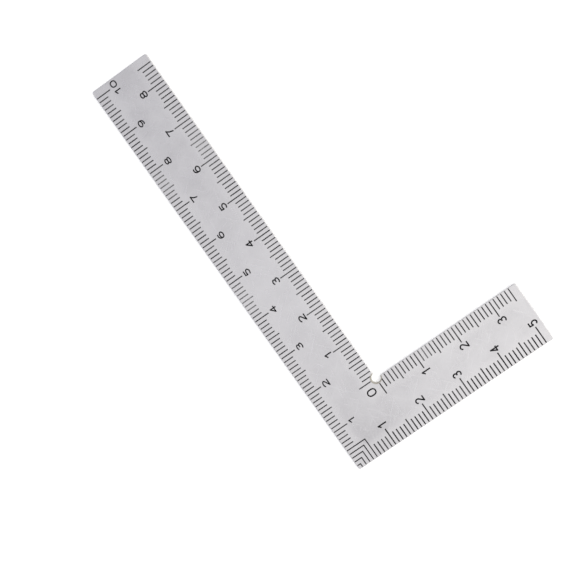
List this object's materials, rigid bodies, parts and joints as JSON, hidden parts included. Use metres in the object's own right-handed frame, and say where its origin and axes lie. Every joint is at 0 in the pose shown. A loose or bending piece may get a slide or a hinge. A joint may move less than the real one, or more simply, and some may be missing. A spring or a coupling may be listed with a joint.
{
  "type": "steel square ruler",
  "caption": "Small flat L-shaped steel square with millimetre scales and figures along all four edges and a round relief notch in the inner corner.",
  "frame": {"origin": "centre of the bounding box of the L in plan, on the underside of the plate", "axes": "+X along the short arm away from the corner, +Y along the long arm away from the corner, +Z out of the marked face"},
  "size_m": [0.0518, 0.1018, 0.001],
  "materials": {
    "steel": "satin, fine random scratches",
    "enamel": "matt black marking enamel"
  },
  "bodies": {
    "root": {"blade": "steel", "corner_graduation_1": "enamel", "corner_graduation_2": "enamel", "corner_graduation_3": "enamel", "corner_graduation_4": "enamel", "corner_graduation_5": "enamel", "outer_long_graduations": "enamel", "outer_long_numeral_1": "enamel", "outer_long_numeral_2": "enamel", "outer_long_numeral_3": "enamel", "outer_long_numeral_4": "enamel", "outer_long_numeral_5": "enamel", "outer_long_numeral_6": "enamel", "outer_long_numeral_7": "enamel", "outer_long_numeral_8": "enamel", "outer_long_numeral_9": "enamel", "outer_short_graduations": "enamel", "outer_short_numeral_1": "enamel", "outer_short_numeral_2": "enamel", "outer_short_numeral_3": "enamel", "outer_short_numeral_4": "enamel", "outer_short_numeral_5": "enamel", "inner_long_graduations": "enamel", "inner_long_numeral_1": "enamel", "inner_long_numeral_2": "enamel", "inner_long_numeral_3": "enamel", "inner_long_numeral_4": "enamel", "inner_long_numeral_5": "enamel", "inner_long_numeral_6": "enamel", "inner_long_numeral_7": "enamel", "inner_long_numeral_8": "enamel", "inner_short_graduations": "enamel", "inner_short_numeral_1": "enamel", "inner_short_numeral_2": "enamel", "inner_short_numeral_3": "enamel", "outer_long_numeral_10_tens": "enamel", "outer_long_numeral_10_units": "enamel", "inner_zero_numeral": "enamel"}
  },
  "joints": []
}
